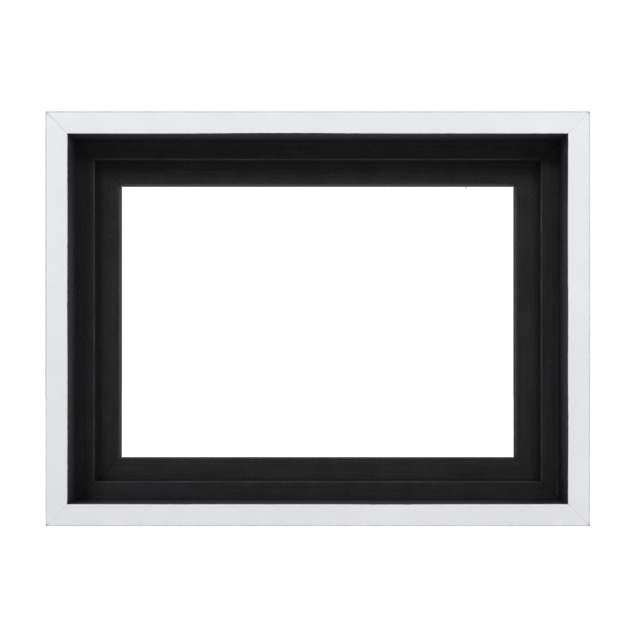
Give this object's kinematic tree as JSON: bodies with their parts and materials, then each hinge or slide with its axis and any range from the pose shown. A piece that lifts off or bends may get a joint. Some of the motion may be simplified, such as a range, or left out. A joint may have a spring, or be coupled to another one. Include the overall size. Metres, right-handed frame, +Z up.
{
  "type": "floating frame",
  "caption": "Floating frame for a stretched canvas: white mitred face, black stepped recess, open back with D-ring hangers and rubber bumpers.",
  "frame": {"origin": "middle of the footprint, on the plane of the frame's underside", "axes": "+X along the long side, +Y from the front face towards the wall, +Z up"},
  "size_m": [0.2134, 0.0342, 0.1626],
  "materials": {
    "lacquered_wood": "satin white lacquer on the face and outer sides, satin black inside the recess, bare wood at the back",
    "nail_steel": "dull rolled steel",
    "plated_steel": "bright zinc plate",
    "black_rubber": "matte"
  },
  "bodies": {
    "frame": {"rail_bottom": "lacquered_wood", "rail_right": "lacquered_wood", "rail_top": "lacquered_wood", "rail_left": "lacquered_wood", "v_nail_outer_bottom_left": "nail_steel", "v_nail_inner_bottom_left": "nail_steel", "v_nail_outer_bottom_right": "nail_steel", "v_nail_inner_bottom_right": "nail_steel", "v_nail_outer_top_right": "nail_steel", "v_nail_inner_top_right": "nail_steel", "v_nail_outer_top_left": "nail_steel", "v_nail_inner_top_left": "nail_steel", "hanger_strap_left": "plated_steel", "hanger_screw_left": "plated_steel", "hanger_strap_right": "plated_steel", "hanger_screw_right": "plated_steel", "bumper_left": "black_rubber", "bumper_right": "black_rubber"},
    "ring_left": {"d_ring_left": "plated_steel"},
    "ring_right": {"d_ring_right": "plated_steel"}
  },
  "joints": [
    {"name": "ring_left_hinge", "type": "hinge", "parent": "frame", "child": "ring_left", "pos_m": [-0.0943, 0.01495, 0.10732], "axis": [1, 0, 0], "range_deg": [0, 172]},
    {"name": "ring_right_hinge", "type": "hinge", "parent": "frame", "child": "ring_right", "pos_m": [0.0943, 0.01495, 0.10732], "axis": [1, 0, 0], "range_deg": [0, 172]}
  ]
}
